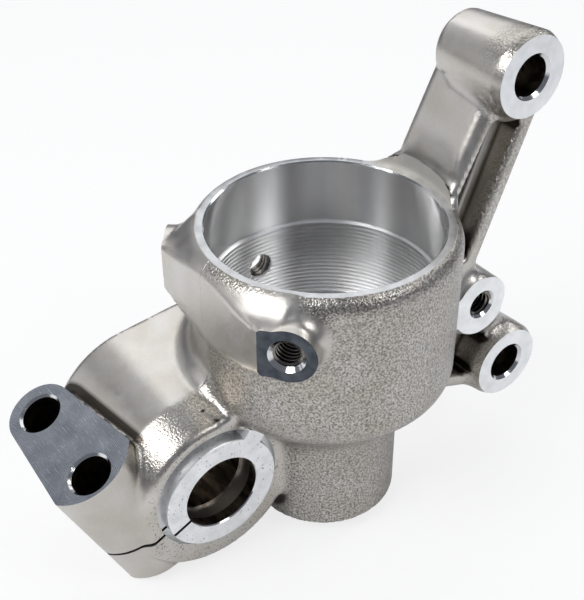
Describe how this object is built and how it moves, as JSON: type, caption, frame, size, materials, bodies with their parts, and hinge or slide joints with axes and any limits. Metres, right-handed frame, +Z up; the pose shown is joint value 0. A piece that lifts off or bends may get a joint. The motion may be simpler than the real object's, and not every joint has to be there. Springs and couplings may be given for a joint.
{
  "type": "axle bracket",
  "caption": "Cast and machined fork foot: a threaded tube socket with a slit axle clamp under it and arms with ears for a brake caliper",
  "frame": {"origin": "middle of the rim plane of the tube socket, on the socket's axis", "axes": "+Z up along the socket's axis, out of its mouth; +X along the wheel axle, out of the machined ring; +Y towards the caliper ears"},
  "size_m": [0.0592, 0.1174, 0.1072],
  "materials": {
    "cast_alloy": "fine-grained casting with turned, milled and drilled faces"
  },
  "bodies": {
    "root": {"axle_bracket": "cast_alloy"}
  },
  "joints": []
}
